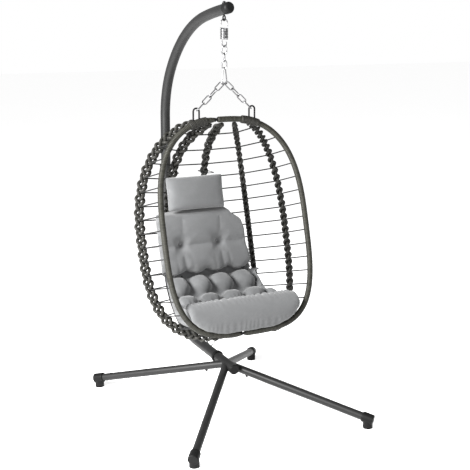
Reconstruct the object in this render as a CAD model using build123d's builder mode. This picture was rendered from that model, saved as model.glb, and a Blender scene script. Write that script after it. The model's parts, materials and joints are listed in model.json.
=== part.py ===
from build123d import *
import os
from math import atan2, cos, degrees, pi, radians, sin, sqrt, tan

# Hanging egg chair: a curved steel pole on a four-legged base carries a wicker
# basket from a spring and chains. Millimetres, +Z up, the basket's mouth faces -Y.
# The origin is on the floor, under the middle of the whole chair.

# Base
HUB_HEIGHT = 220.0
HUB_SLOPE = 4.3
HUB_FRONT = 82.0
HUB_REAR = 98.0
POLE_RADIUS = 25.0
POLE_WALL = 2.0
LEG_RADIUS = 19.0
LEG_WALL = 1.8
LEG_SPREAD = 39.0
LEG_REACH = 700.0
LEG_END_HEIGHT = 51.0
SOCKET_ROOT = 50.0
SOCKET_END = 135.0
SPIGOT_LENGTH = 55.0
SPIGOT_SLACK = 0.2
FOOT_RADIUS = 25.0
FOOT_LENGTH = 55.0
FOOT_PAD_RADIUS = 23.0
BOLT_RADIUS = 4.0

# Pole
MAST_Y = 683.0
BASE_BEND_RADIUS = 390.0
TOP_BEND_START = 1370.0
TOP_BENDS = ((450.0, 34.0), (640.0, 44.0), (2000.0, 4.0))
POLE_TIP_RUN = 98.0
POLE_JOINT = 1150.0
POLE_JOINT_OVERLAP = 130.0
POLE_BOLT_HEIGHTS = (1054.0, 1115.0)

# Hanger, a vertical line above the basket's rings
HANG_Y = 17.0
EYE_WIRE = 3.5
EYE_RADIUS = 11.0
EYE_BOTTOM = 1870.5
WIRE = 2.75
SPRING_RADIUS = 16.25
SPRING_TOP = 1839.0
SPRING_BOTTOM = 1783.0
SPRING_TURNS = 7.5
HOOK_TOP = 1877.0
HOOK_BOTTOM = 1750.75
HOOK_TURN = 25.0
LINK_LENGTH = 45.0
LINK_WIDTH = 28.0
LINK_TURNS = (-40.0, 50.0, -40.0)
LINK_GAP = 0.3
PEAR_LENGTH = 80.0
PEAR_TOP_WIDTH = 19.0
PEAR_BOTTOM_WIDTH = 44.0
PEAR_CORNER = 5.0
PEAR_TURN = 20.0
SIDE_ROLLS = (-45.0, 45.0, -45.0, 70.0)
RING_X = 147.0
RING_WIRE = 4.0
RING_RADIUS = 15.0
RING_GAP = 3.2
RING_TOP = 1474.0

# Basket: an egg-shaped rim leaning back, five ribs behind it, and cross rods
LEAN = 14.9
RIM_Y = -108.0
RIM_Z = 931.5
RIM_HALF_LENGTH = 502.5
RIM_HALF_WIDTH = 377.0
RIM_POWERS = (2.7, 3.5)
RIM_TUBE = 9.5
RIM_BORE = 7.5
RIM_WRAP = 14.0
SEAM_X = -38.0
SEAM_GAP = 14.0
BINDING = 19.0
BINDING_STOPS = (92, 110, 128, 146, 163, 180)
PIN_RADIUS = 6.4
PIN_LENGTH = 40.0
RIBS = {
    "rib_outer": (90.0, 37.4, 382.0, 1.0),
    "rib_mid": (50.0, 59.8, 328.0, 0.96),
    "rib_centre": (0.0, 90.0, 329.0, 0.96),
}
RIB_POWERS = (2.2, 3.1)
RIB_DEPTH = 46.0
RIB_THICKNESS = 14.0
RIB_START = 20.0
ROD = 3.0
ROD_TOP = 470.5
ROD_PITCH = 65.5
ROD_COUNT = 15
ROD_LAST = -490.0
ROD_BEND = 15.0
ROD_CLEARANCE = 0.3

# Cushions
BACK_SPAN = (-308.0, 176.0)
SEAT_SPAN = (-292.0, 292.0)
CUSHION_GAP = 5.0
BACK_OUTLINE = ((92, 962), (66, 900), (54, 800), (50, 712), (62, 672), (260, 600), (260, 985))
SEAT_OUTLINE = (
    (-238, 430), (-240, 500), (-222, 560), (-190, 580), (-110, 584), (-50, 602), (0, 640),
    (58, 667), (256, 595), (256, 430),
)
PILLOW_SIZE = (320.0, 62.0, 172.0)
PILLOW_CENTRE = (-104.0, 121.0, 1062.0)
PILLOW_LEAN = -12.0
LOOP_CORD = 1.6
LOOP_LEVEL = 305.0
LOOP_HALF_WIDTH = 22.0
LOOP_FRONT_Y = 166.0
CUSHION_LEVELS = (-480, -470, -455, -430, -395, -350, -290, -220, -140, -50, 50, 150, 250, 330)

foot_front = (LEG_REACH + FOOT_LENGTH - 7) * cos(radians(LEG_SPREAD)) + FOOT_RADIUS * sin(radians(LEG_SPREAD))
HUB_Y = (foot_front - MAST_Y - POLE_RADIUS) / 2


def point(x, y, z):
    """A point given from the hub's vertical axis, in the part's frame."""
    return Vector(x, y + HUB_Y, z)


def corner_radii(points, share=0.45):
    """The largest tangent arc that each inner corner of a path has room for."""
    radii = []
    for before, here, after in zip(points, points[1:], points[2:]):
        first = Vector(*here) - Vector(*before)
        second = Vector(*after) - Vector(*here)
        turn = radians(first.get_angle(second))
        radii.append(share * min(first.length, second.length) / tan(turn / 2))
    return radii


def save(part, name):
    part.label = name
    export_step(part, f"parts/{name}.step")


def tube(path, outer, inner=0.0):
    """Sweep a round tube or bar along a path, inside the current part."""
    with BuildSketch(Plane(path @ 0, z_dir=path % 0)) as section:
        Circle(outer)
        if inner:
            Circle(inner, mode=Mode.SUBTRACT)
    sweep(section.sketch, path=path)


os.makedirs("parts", exist_ok=True)
HUB = point(0, 0, HUB_HEIGHT)
hub_axis = Vector(0, cos(radians(HUB_SLOPE)), sin(radians(HUB_SLOPE)))
hub_front_plane = Plane(HUB - hub_axis * HUB_FRONT, z_dir=hub_axis)
hub_rear_plane = Plane(HUB + hub_axis * HUB_REAR, z_dir=hub_axis)

LEGS = {
    "front_left": 180 + 90 - LEG_SPREAD,
    "front_right": 270 + LEG_SPREAD,
    "rear_left": 90 + LEG_SPREAD,
    "rear_right": 90 - LEG_SPREAD,
}
leg_drop = HUB_HEIGHT - LEG_END_HEIGHT


def leg_plane(angle):
    """Local Z runs down a leg from the hub, local X is level."""
    outward = Vector(cos(radians(angle)), sin(radians(angle)), 0) * LEG_REACH
    level = Vector(-sin(radians(angle)), cos(radians(angle)), 0)
    return Plane(HUB, x_dir=level, z_dir=outward - Vector(0, 0, leg_drop))


def leg_bolt_plane(angle):
    """Local Z points down out of a leg's underside, at its bolt."""
    leg = leg_plane(angle)
    under = leg.y_dir if leg.y_dir.Z < 0 else leg.y_dir * -1
    return Plane(leg.origin + leg.z_dir * (SOCKET_END - 19), x_dir=leg.x_dir, z_dir=under)


# ---- Base ----
with BuildPart() as base_hub:
    with BuildSketch(hub_front_plane):
        Circle(POLE_RADIUS)
    extrude(amount=HUB_FRONT + HUB_REAR)
    for angle in LEGS.values():
        with BuildSketch(leg_plane(angle)):
            Circle(LEG_RADIUS)
        extrude(amount=SOCKET_END)
    with BuildSketch(hub_front_plane):
        Circle(POLE_RADIUS - POLE_WALL)
    extrude(amount=HUB_FRONT + HUB_REAR, mode=Mode.SUBTRACT)
    for angle in LEGS.values():
        with BuildSketch(leg_plane(angle).offset(SOCKET_ROOT)):
            Circle(LEG_RADIUS - LEG_WALL)
        extrude(amount=SOCKET_END - SOCKET_ROOT, mode=Mode.SUBTRACT)
        with BuildSketch(leg_bolt_plane(angle)):
            Circle(BOLT_RADIUS + 0.2)
        extrude(amount=LEG_RADIUS + 5, mode=Mode.SUBTRACT)
save(base_hub.part, "base_hub")

with BuildPart() as hub_end_plug:
    with BuildSketch(hub_front_plane):
        Circle(POLE_RADIUS - POLE_WALL - 0.1)
    extrude(amount=16)
    with BuildSketch(hub_front_plane):
        Circle(POLE_RADIUS + 0.5)
    extrude(amount=-6)
    fillet(hub_end_plug.faces().sort_by(Axis.Y)[0].edges(), 5)
save(hub_end_plug.part, "hub_end_plug")

leg_length = sqrt(LEG_REACH**2 + leg_drop**2)
for name, angle in LEGS.items():
    leg_frame = leg_plane(angle)
    with BuildPart() as leg:
        with BuildSketch(leg_frame.offset(SOCKET_END)):
            Circle(LEG_RADIUS)
            Circle(LEG_RADIUS - LEG_WALL, mode=Mode.SUBTRACT)
        extrude(amount=leg_length + 30 - SOCKET_END)
        with BuildSketch(leg_frame.offset(SOCKET_END - SPIGOT_LENGTH)):
            Circle(LEG_RADIUS - LEG_WALL - SPIGOT_SLACK)
            Circle(LEG_RADIUS - 2 * LEG_WALL - SPIGOT_SLACK, mode=Mode.SUBTRACT)
        extrude(amount=SPIGOT_LENGTH + 4)
        with BuildSketch(leg_frame.offset(SOCKET_END)):
            Circle(LEG_RADIUS - 1)
            Circle(LEG_RADIUS - 2 * LEG_WALL - SPIGOT_SLACK, mode=Mode.SUBTRACT)
        extrude(amount=4)
        with BuildSketch(leg_bolt_plane(angle)):
            Circle(BOLT_RADIUS + 0.2)
        extrude(amount=LEG_RADIUS, mode=Mode.SUBTRACT)
    save(leg.part, f"leg_{name}")

    foot_middle = leg_frame.origin + leg_frame.z_dir * (leg_length + FOOT_LENGTH / 2 - 7)
    with BuildPart() as foot:
        with BuildSketch(leg_frame.offset(leg_length - 7)):
            Circle(FOOT_RADIUS)
        extrude(amount=FOOT_LENGTH)
        fillet(foot.edges(), 5)
        with BuildSketch(Plane((foot_middle.X, foot_middle.Y, 0))):
            Circle(FOOT_PAD_RADIUS)
        extrude(amount=foot_middle.Z - 4)
        with BuildSketch(leg_frame.offset(leg_length - 7)):
            Circle(LEG_RADIUS + 0.1)
        extrude(amount=37.2, mode=Mode.SUBTRACT)
    save(foot.part, f"foot_cap_{name}")

with BuildPart() as leg_bolts:
    for angle in LEGS.values():
        with BuildSketch(leg_bolt_plane(angle).offset(LEG_RADIUS + 0.1)):
            Circle(7.5)
        extrude(amount=7, taper=12)
        with BuildSketch(leg_bolt_plane(angle).offset(4)):
            Circle(BOLT_RADIUS)
        extrude(amount=LEG_RADIUS - 3)
save(leg_bolts.part, "leg_bolts")

with BuildPart() as leg_nuts:
    for angle in LEGS.values():
        with BuildSketch(leg_bolt_plane(angle).offset(5)):
            RegularPolygon(7.5, 6)
            Circle(BOLT_RADIUS + 0.05, mode=Mode.SUBTRACT)
        extrude(amount=7)
save(leg_nuts.part, "leg_nuts")

# ---- Pole ----
bend_turn = 90 - HUB_SLOPE
bend_rise = BASE_BEND_RADIUS * cos(radians(HUB_SLOPE))
bend_run = BASE_BEND_RADIUS * (1 - sin(radians(HUB_SLOPE)))
bend_start = HUB + hub_axis * ((MAST_Y - bend_run) / cos(radians(HUB_SLOPE)))
bend_end = Vector(0, MAST_Y + HUB_Y, bend_start.Z + bend_rise)
bend_middle_angle = radians(HUB_SLOPE + bend_turn / 2)
bend_centre = bend_end - Vector(0, BASE_BEND_RADIUS, 0)
bend_middle = bend_centre + Vector(0, sin(bend_middle_angle), -cos(bend_middle_angle)) * BASE_BEND_RADIUS
pole_start = HUB + hub_axis * HUB_REAR
pole_middle = POLE_RADIUS - POLE_WALL - SPIGOT_SLACK

with BuildPart() as lower_pole:
    with BuildLine() as lower_path:
        Line(pole_start, bend_start)
        ThreePointArc(bend_start, bend_middle, bend_end)
        Line(bend_end, point(0, MAST_Y, POLE_JOINT))
    tube(lower_path.wire(), POLE_RADIUS, POLE_RADIUS - POLE_WALL)
    with BuildSketch(hub_rear_plane.offset(-60)):
        Circle(pole_middle)
        Circle(pole_middle - POLE_WALL, mode=Mode.SUBTRACT)
    extrude(amount=64)
    with BuildSketch(hub_rear_plane):
        Circle(POLE_RADIUS - 1)
        Circle(pole_middle - POLE_WALL, mode=Mode.SUBTRACT)
    extrude(amount=4)
    for height in POLE_BOLT_HEIGHTS:
        with BuildSketch(Plane.YZ.offset(-POLE_RADIUS - 5)):
            with Locations((MAST_Y + HUB_Y, height)):
                Circle(BOLT_RADIUS + 0.2)
        extrude(amount=2 * POLE_RADIUS + 10, mode=Mode.SUBTRACT)
save(lower_pole.part, "lower_pole")

with BuildPart() as pole_collar:
    with BuildSketch(hub_rear_plane.offset(-7)):
        Circle(31)
        Circle(POLE_RADIUS + 0.1, mode=Mode.SUBTRACT)
    extrude(amount=14)
    chamfer(pole_collar.edges().filter_by(GeomType.CIRCLE).group_by(SortBy.RADIUS)[-1], 2)
save(pole_collar.part, "pole_collar")

eye_bolt_hole = Plane((0, HANG_Y + HUB_Y, 1880))
with BuildPart() as upper_pole:
    with BuildLine(Plane.YZ) as upper_path:
        l1 = Line((MAST_Y + HUB_Y, POLE_JOINT), (MAST_Y + HUB_Y, TOP_BEND_START))
        last = l1
        for bend_radius, bend_angle in TOP_BENDS:
            last = JernArc(last @ 1, last % 1, bend_radius, bend_angle)
        tip = Line(last @ 1, last @ 1 + (last % 1) * POLE_TIP_RUN)
    tube(upper_path.wire(), POLE_RADIUS, POLE_RADIUS - POLE_WALL)
    with BuildSketch(Plane(point(0, MAST_Y, POLE_JOINT - POLE_JOINT_OVERLAP))):
        Circle(pole_middle)
        Circle(pole_middle - POLE_WALL, mode=Mode.SUBTRACT)
    extrude(amount=POLE_JOINT_OVERLAP + 4)
    with BuildSketch(Plane(point(0, MAST_Y, POLE_JOINT))):
        Circle(POLE_RADIUS - 1)
        Circle(pole_middle - POLE_WALL, mode=Mode.SUBTRACT)
    extrude(amount=4)
    for height in POLE_BOLT_HEIGHTS:
        with BuildSketch(Plane.YZ.offset(-POLE_RADIUS)):
            with Locations((MAST_Y + HUB_Y, height)):
                Circle(BOLT_RADIUS + 0.2)
        extrude(amount=2 * POLE_RADIUS, mode=Mode.SUBTRACT)
    with BuildSketch(eye_bolt_hole):
        Circle(EYE_WIRE + 1)
    extrude(amount=100, mode=Mode.SUBTRACT)
save(upper_pole.part, "upper_pole")

with BuildPart() as pole_bolts:
    for height in POLE_BOLT_HEIGHTS:
        with BuildSketch(Plane.YZ.offset(-POLE_RADIUS - 3)):
            with Locations((MAST_Y + HUB_Y, height)):
                Circle(BOLT_RADIUS)
        extrude(amount=2 * POLE_RADIUS + 14)
        with BuildSketch(Plane.YZ.offset(-POLE_RADIUS - 0.1)):
            with Locations((MAST_Y + HUB_Y, height)):
                Circle(7.5)
        extrude(amount=-8.5, taper=15)
save(pole_bolts.part, "pole_bolts")

with BuildPart() as pole_nuts:
    for height in POLE_BOLT_HEIGHTS:
        with BuildSketch(Plane.YZ.offset(POLE_RADIUS + 0.1)):
            with Locations((MAST_Y + HUB_Y, height)):
                RegularPolygon(7.5, 6)
                Circle(BOLT_RADIUS + 0.05, mode=Mode.SUBTRACT)
        extrude(amount=7)
save(pole_nuts.part, "pole_nuts")

tip_end = tip @ 1
tip_axis = Vector(0, (tip % 1).Y, (tip % 1).Z)
tip_plane = Plane(tip_end, x_dir=(1, 0, 0), z_dir=tip_axis)
with BuildPart() as pole_end_cap:
    with BuildSketch(tip_plane.offset(-24)):
        Circle(POLE_RADIUS + 2)
    extrude(amount=40)
    fillet(pole_end_cap.faces().sort_by(Axis.Y)[0].edges(), 15)
    with BuildSketch(tip_plane.offset(-24)):
        Circle(POLE_RADIUS + 0.1)
    extrude(amount=24.1, mode=Mode.SUBTRACT)
save(pole_end_cap.part, "pole_end_cap")

# ---- Hanger ----
hang = point(0, HANG_Y, 0)
tip_slope = tip_axis.Z / abs(tip_axis.Y)
pole_top_z = tip_end.Z - (hang.Y - tip_end.Y) * tip_slope + POLE_RADIUS / abs(tip_axis.Y)
eye_centre_z = EYE_BOTTOM + EYE_RADIUS

with BuildPart() as eye_bolt:
    with BuildLine(Plane((0, hang.Y, eye_centre_z), x_dir=(0, 1, 0), z_dir=(1, 0, 0))) as eye_path:
        CenterArc((0, 0), EYE_RADIUS, 90, 360)
    tube(eye_path.wire(), EYE_WIRE)
    with BuildSketch(Plane((0, hang.Y, eye_centre_z + EYE_RADIUS))):
        Circle(EYE_WIRE)
    extrude(amount=pole_top_z + 11 - eye_centre_z - EYE_RADIUS)
save(eye_bolt.part, "eye_bolt")

with BuildPart() as eye_bolt_nut:
    with BuildSketch(Plane((0, hang.Y, pole_top_z + 4))):
        RegularPolygon(7.5, 6)
        Circle(EYE_WIRE + 0.05, mode=Mode.SUBTRACT)
    extrude(amount=6)
save(eye_bolt_nut.part, "eye_bolt_nut")

with BuildPart() as eye_bolt_saddle:
    with BuildSketch(Plane((0, hang.Y, pole_top_z - 10))):
        Circle(10)
        Circle(EYE_WIRE + 0.3, mode=Mode.SUBTRACT)
    extrude(amount=13.9)
    with BuildSketch(Plane(tip_end - tip_axis * 90, x_dir=(1, 0, 0), z_dir=tip_axis)):
        Circle(POLE_RADIUS + 0.1)
    extrude(amount=90, mode=Mode.SUBTRACT)
save(eye_bolt_saddle.part, "eye_bolt_saddle")


def hanger_plane(z, turn):
    """An upright plane through the hanging line, turned about it."""
    across = (cos(radians(turn)), sin(radians(turn)), 0)
    return Plane((0, hang.Y, z), x_dir=across, z_dir=(sin(radians(turn)), -cos(radians(turn)), 0))


with BuildPart() as spring_hook_upper:
    with BuildLine(hanger_plane(HOOK_TOP - SPRING_RADIUS, 0)) as upper_hook_path:
        rise = Line((SPRING_RADIUS, SPRING_TOP + WIRE - HOOK_TOP + SPRING_RADIUS), (SPRING_RADIUS, 0))
        arch = CenterArc((0, 0), SPRING_RADIUS, 0, 180)
        Line((-SPRING_RADIUS, 0), (-SPRING_RADIUS, -8))
    tube(upper_hook_path.wire(), WIRE)
save(spring_hook_upper.part, "spring_hook_upper")

spring_pitch = (SPRING_TOP - SPRING_BOTTOM - 2 * WIRE) / SPRING_TURNS
with BuildPart() as spring:
    with BuildLine(Plane((0, hang.Y, SPRING_BOTTOM + WIRE))) as spring_path:
        Helix(spring_pitch, SPRING_TOP - SPRING_BOTTOM - 2 * WIRE, SPRING_RADIUS)
    helix = spring_path.wire()
    with BuildSketch(Plane(helix @ 0, z_dir=helix % 0)):
        Circle(WIRE)
    sweep(path=helix, is_frenet=True)
save(spring.part, "spring")

with BuildPart() as spring_hook_lower:
    with BuildLine(hanger_plane(HOOK_BOTTOM + SPRING_RADIUS, HOOK_TURN)) as lower_hook_path:
        Line((-SPRING_RADIUS, SPRING_BOTTOM - WIRE - HOOK_BOTTOM - SPRING_RADIUS), (-SPRING_RADIUS, 0))
        CenterArc((0, 0), SPRING_RADIUS, 180, 180)
        Line((SPRING_RADIUS, 0), (SPRING_RADIUS, 7))
    tube(lower_hook_path.wire(), WIRE)
save(spring_hook_lower.part, "spring_hook_lower")


def chain_link(plane, length, width):
    """One closed link in its own plane, long in local Y."""
    radius = width / 2 - WIRE
    straight = length / 2 - WIRE - radius
    with BuildLine(plane) as outline:
        Line((radius, -straight), (radius, straight))
        CenterArc((0, straight), radius, 0, 180)
        Line((-radius, straight), (-radius, -straight))
        CenterArc((0, -straight), radius, 180, 180)
    tube(outline.wire(), WIRE)


link_pitch = LINK_LENGTH - 4 * WIRE - LINK_GAP
first_link_z = HOOK_BOTTOM + 2 * WIRE + LINK_GAP + WIRE - LINK_LENGTH / 2
link_heights = [first_link_z - number * link_pitch for number in range(len(LINK_TURNS))]
for number, (height, turn) in enumerate(zip(link_heights, LINK_TURNS), start=1):
    with BuildPart() as link:
        chain_link(hanger_plane(height, turn), LINK_LENGTH, LINK_WIDTH)
    save(link.part, f"chain_link_{number}")

pear_top = link_heights[-1] - LINK_LENGTH / 2 + 3 * WIRE + LINK_GAP
pear_bottom = pear_top - PEAR_LENGTH + 2 * WIRE
with BuildPart() as pear_link:
    with BuildLine(hanger_plane(0, PEAR_TURN)) as pear_path:
        half_top = PEAR_TOP_WIDTH / 2 - WIRE
        half_bottom = PEAR_BOTTOM_WIDTH / 2 - WIRE
        FilletPolyline(
            (half_top, pear_top), (half_bottom, pear_bottom),
            (-half_bottom, pear_bottom), (-half_top, pear_top),
            radius=PEAR_CORNER, close=True,
        )
    tube(pear_path.wire(), WIRE)
save(pear_link.part, "pear_link")

# Each side chain pulls in line from the pear link's lower corner to its ring's arch.
pear_slant = atan2(half_bottom - half_top, pear_top - pear_bottom)
corner_out = half_bottom - PEAR_CORNER / tan((pi / 2 - pear_slant) / 2)
corner_turn = radians(PEAR_TURN)
for side_name, side in (("left", -1), ("right", 1)):
    corner_x = side * corner_out * cos(corner_turn)
    corner_y = hang.Y + side * corner_out * sin(corner_turn)
    corner = Vector(corner_x, corner_y, pear_bottom + PEAR_CORNER)
    arch = Vector(side * RING_X, hang.Y, RING_TOP - RING_RADIUS)
    run = (arch - corner).normalized()
    reach = (arch - corner).length - PEAR_CORNER - RING_RADIUS
    hole = (reach + WIRE + RING_WIRE + 2 * RING_GAP + (len(SIDE_ROLLS) - 1) * LINK_GAP) / len(SIDE_ROLLS)
    first_middle = corner + run * (PEAR_CORNER + hole / 2 - WIRE - RING_GAP)
    level_across = run.cross(Vector(0, 1, 0)).normalized()
    with BuildPart() as side_chain:
        for number, roll in enumerate(map(radians, SIDE_ROLLS)):
            across = level_across * cos(roll) + run.cross(level_across) * -sin(roll)
            middle = first_middle + run * (hole - LINK_GAP) * number
            chain_link(Plane(middle, x_dir=across, z_dir=across.cross(run)), hole + 4 * WIRE, LINK_WIDTH)
    save(side_chain.part, f"chain_{side_name}")

# ---- Basket frame ----
lean = radians(LEAN)
up_rim = Vector(0, sin(lean), cos(lean))
basket_back = Vector(0, cos(lean), -sin(lean))
RIM_CENTRE = point(0, RIM_Y, RIM_Z)


def egg(level, powers):
    """The share of its full width that an egg outline has at a level."""
    power = powers[0] if level > 0 else powers[1]
    return (1 - abs(level / RIM_HALF_LENGTH) ** power) ** (1 / power)


def level_at(share, powers, upper):
    """The level, above or below the middle, where an egg outline has a share of its width."""
    power = powers[0] if upper else powers[1]
    level = RIM_HALF_LENGTH * (1 - abs(share) ** power) ** (1 / power)
    return level if upper else -level


def egg_points(reach, powers, first_angle, last_angle, steps):
    """Points down one side of an egg outline, as distance out and level."""
    points = []
    for step in range(steps + 1):
        angle = radians(first_angle + (last_angle - first_angle) * step / steps)
        power = powers[0] if angle > 0 else powers[1]
        out = reach * cos(angle) ** (2 / power)
        level = RIM_HALF_LENGTH * abs(sin(angle)) ** (2 / power)
        points.append((out, level if angle > 0 else -level))
    return points


def rim_point(x, upper=True):
    """A point on the rim's centre line, across and up the rim's own plane."""
    return (x, level_at(x / RIM_HALF_WIDTH, RIM_POWERS, upper))


def rim_outline(side):
    """One half of the rim, from the seam at the top to the seam at the bottom."""
    seam = SEAM_X + side * SEAM_GAP / 2
    points = [(side * out, level) for out, level in egg_points(RIM_HALF_WIDTH, RIM_POWERS, 84, -86, 24)]
    top = [rim_point(x) for x in ((seam, 20) if side > 0 else (seam,))]
    bottom = [rim_point(x, False) for x in ((25, seam) if side > 0 else (seam,))]
    return top + points + bottom


rim_plane = Plane(RIM_CENTRE, x_dir=(1, 0, 0), z_dir=basket_back * -1)


def level_plane(level):
    """Local X is across and local Y is towards the basket's back."""
    return Plane(RIM_CENTRE + up_rim * level, x_dir=(1, 0, 0), z_dir=up_rim)


def rib_plane(across, angle, side):
    """Local X is outwards from the rim's plane along a rib, local Y is up the rim."""
    out = Vector(side * cos(radians(angle)), 0, 0) + basket_back * sin(radians(angle))
    return Plane(RIM_CENTRE + Vector(side * across, 0, 0), x_dir=out, z_dir=out.cross(up_rim))


def rib_crossing(rib, side, level):
    """Where a cross rod at a level passes through a rib."""
    across, angle, reach, closing = RIBS[rib]
    out = reach * egg(level, RIB_POWERS)
    return RIM_CENTRE + Vector(side * (across + out * cos(radians(angle))), 0, 0) \
        + basket_back * (out * sin(radians(angle))) + up_rim * (level * closing)


def rod_path(level):
    """A cross rod's line, from the rim's right side round the back to its left side."""
    right = [rib_crossing(rib, 1, level) for rib in ("rib_outer", "rib_mid")]
    left = [rib_crossing(rib, -1, level) for rib in ("rib_mid", "rib_outer")]
    middle = rib_crossing("rib_centre", 1, level)
    ends = []
    for side, near in ((1, right[0]), (-1, left[1])):
        rim = RIM_CENTRE + Vector(side * RIM_HALF_WIDTH * egg(level, RIM_POWERS), 0, 0) + up_rim * level
        ends.append(rim + (near - rim).normalized() * (RIM_TUBE + 1.5))
    return [ends[0], *right, middle, *left, ends[1]]


rod_levels = [ROD_TOP - number * ROD_PITCH for number in range(ROD_COUNT)] + [ROD_LAST]


def add_rods(radius):
    for level in rod_levels:
        with BuildLine() as rod_line:
            FilletPolyline(*rod_path(level), radius=ROD_BEND)
        tube(rod_line.wire(), radius)


with BuildPart() as cross_rods:
    add_rods(ROD)
save(cross_rods.part, "cross_rods")

with BuildPart() as rod_room:
    add_rods(ROD + ROD_CLEARANCE)


def ring_foot_z(x):
    """Where a ring's leg meets the rim's tube, just above its top."""
    return (RIM_CENTRE + up_rim * rim_point(x)[1]).Z + RIM_TUBE + 1.5


def cut_ring_holes(side):
    for x in (side * RING_X - RING_RADIUS, side * RING_X + RING_RADIUS):
        with BuildSketch(Plane((x, hang.Y, ring_foot_z(x) - 1))) as hole:
            Circle(RING_WIRE + ROD_CLEARANCE)
        extrude(hole.sketch, amount=40, mode=Mode.SUBTRACT)


for side_name, side in (("left", -1), ("right", 1)):
    with BuildPart() as ring:
        with BuildLine(Plane((side * RING_X, hang.Y, 0), x_dir=(1, 0, 0), z_dir=(0, -1, 0))) as ring_path:
            arch_z = RING_TOP - RING_RADIUS
            Line((RING_RADIUS, ring_foot_z(side * RING_X + RING_RADIUS)), (RING_RADIUS, arch_z))
            CenterArc((0, arch_z), RING_RADIUS, 0, 180)
            Line((-RING_RADIUS, arch_z), (-RING_RADIUS, ring_foot_z(side * RING_X - RING_RADIUS)))
        tube(ring_path.wire(), RING_WIRE)
    save(ring.part, f"ring_{side_name}")


def bottom_hook_shape(radius):
    rise = [rim_point(x, False) for x in (-250, -170)]
    with BuildLine(rim_plane) as hook_path:
        FilletPolyline(
            (rise[0][0], rise[0][1] - RIM_TUBE - 3), (-212, -RIM_HALF_LENGTH - 34),
            (rise[1][0], rise[1][1] - RIM_TUBE - 3), radius=6,
        )
    tube(hook_path.wire(), radius)


with BuildPart() as bottom_hook:
    bottom_hook_shape(2)
save(bottom_hook.part, "bottom_hook")

with BuildPart() as hook_room:
    bottom_hook_shape(2 + ROD_CLEARANCE)

for side_name, side in (("left", -1), ("right", 1)):
    outline = rim_outline(side)
    with BuildLine(rim_plane) as rim_line:
        FilletPolyline(*outline, radius=corner_radii([(x, y, 0) for x, y in outline]))
    with BuildPart() as rim_tube:
        tube(rim_line.wire(), RIM_TUBE, RIM_BORE)
    save(rim_tube.part, f"rim_tube_{side_name}")
    with BuildPart() as rim_wrap:
        tube(rim_line.wire(), RIM_WRAP, RIM_TUBE + 0.05)
        add(rod_room.part, mode=Mode.SUBTRACT)
        cut_ring_holes(side)
        add(hook_room.part, mode=Mode.SUBTRACT)
        add(rim_wrap.solids().sort_by(SortBy.VOLUME)[-1], mode=Mode.REPLACE)
    save(rim_wrap.part, f"rim_wrap_{side_name}")
    with BuildLine(rim_plane) as binding_line:
        binding_points = [rim_point(side * x) for x in BINDING_STOPS]
        FilletPolyline(*binding_points, radius=corner_radii([(x, y, 0) for x, y in binding_points]))
    with BuildPart() as binding:
        tube(binding_line.wire(), BINDING, RIM_WRAP + 1)
        cut_ring_holes(side)
        add(binding.solids().sort_by(SortBy.VOLUME)[-1], mode=Mode.REPLACE)
    save(binding.part, f"ring_binding_{side_name}")

for place, upper in (("top", True), ("bottom", False)):
    with BuildPart() as pin:
        middle = RIM_CENTRE + Vector(SEAM_X, 0, 0) + up_rim * rim_point(SEAM_X, upper)[1]
        with BuildSketch(Plane(middle - Vector(PIN_LENGTH / 2, 0, 0), z_dir=(1, 0, 0))):
            Circle(PIN_RADIUS)
        extrude(amount=PIN_LENGTH)
    save(pin.part, f"rim_pin_{place}")

# ---- Ribs ----
for rib, (across, angle, reach, closing) in RIBS.items():
    sides = (("", 1),) if across == 0 else (("_left", -1), ("_right", 1))
    for side_name, side in sides:
        frame = rib_plane(across, angle, side)
        outline = [(out, level * closing) for out, level in egg_points(reach, RIB_POWERS, 88, -88, 24)]
        with BuildPart() as rib_strip:
            with BuildLine(frame) as rib_line:
                FilletPolyline(*outline, radius=corner_radii([(x, y, 0) for x, y in outline]))
            rib_wire = rib_line.wire()
            with BuildSketch(Plane(rib_wire @ 0, x_dir=frame.z_dir, z_dir=rib_wire % 0)):
                Rectangle(RIB_THICKNESS, RIB_DEPTH)
            sweep(path=rib_wire)
            split(bisect_by=Plane(RIM_CENTRE + basket_back * RIB_START, z_dir=basket_back))
            add(rod_room.part, mode=Mode.SUBTRACT)
        save(rib_strip.part, f"{rib}{side_name}")

# ---- Cushions ----
rim_inset = RIM_WRAP + CUSHION_GAP
rib_inset = RIB_DEPTH / 2 + CUSHION_GAP


def inner_share(level, half_length, powers):
    """The share of its width that an inset egg outline has at a level, never quite none."""
    power = powers[0] if level > 0 else powers[1]
    return max(1 - min(1, abs(level / half_length)) ** power, 1e-6) ** (1 / power)


def inner_outline(level):
    """The right half of the room inside the basket at a level, as distances across and back."""
    rim = (RIM_HALF_WIDTH - rim_inset) * inner_share(level, RIM_HALF_LENGTH - rim_inset, RIM_POWERS)
    outline = [(rim, -25), (rim, 0)]
    for across, angle, reach, closing in RIBS.values():
        out = (reach - rib_inset) * inner_share(level, RIM_HALF_LENGTH * closing - rib_inset, RIB_POWERS)
        outline.append((across + out * cos(radians(angle)), 1 + out * sin(radians(angle))))
    return outline


with BuildPart() as cushion_room:
    for level in CUSHION_LEVELS:
        right = inner_outline(level)
        left = [(-x, y) for x, y in reversed(right[:-1])]
        with BuildSketch(level_plane(level)):
            Polygon(*right, *left, align=None)
    loft(ruled=True)


for name, span, outline in (
    ("back_cushion", BACK_SPAN, BACK_OUTLINE),
    ("seat_cushion", SEAT_SPAN, SEAT_OUTLINE),
):
    with BuildPart() as cushion:
        with BuildSketch(Plane.YZ.offset(span[0])):
            Polygon(*[(y + HUB_Y, z) for y, z in outline], align=None)
        extrude(amount=span[1] - span[0])
        add(cushion_room.part, mode=Mode.INTERSECT)
    save(cushion.part, name)

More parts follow.
